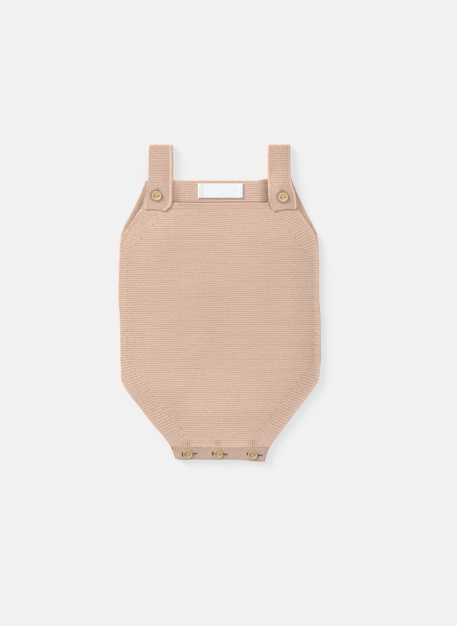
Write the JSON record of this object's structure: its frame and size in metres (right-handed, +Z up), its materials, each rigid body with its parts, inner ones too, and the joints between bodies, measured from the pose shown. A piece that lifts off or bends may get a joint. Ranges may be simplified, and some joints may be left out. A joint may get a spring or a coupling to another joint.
{
  "type": "baby romper",
  "caption": "Knitted baby romper laid flat with its front up: bib front, buttoned shoulder straps, shaped legs and a buttoned crotch band.",
  "frame": {"origin": "centre of the garment's outline, on the surface that it lies on", "axes": "+X across the garment to the right as its front is seen, +Y up towards the shoulders, +Z up from the surface, out of the front"},
  "size_m": [0.2412, 0.3776, 0.0108],
  "materials": {
    "knit": "matte fine cotton knit in horizontal ridges",
    "button": "satin turned corozo nut",
    "label": "woven satin, blank"
  },
  "bodies": {
    "root": {"back_panel": "knit", "front_panel": "knit", "strap_left": "knit", "strap_right": "knit", "crotch_band_front": "knit", "crotch_band_back": "knit", "neck_label": "label", "strap_button_left": "button", "strap_button_right": "button", "crotch_button_left": "button", "crotch_button_middle": "button", "crotch_button_right": "button"}
  },
  "joints": []
}
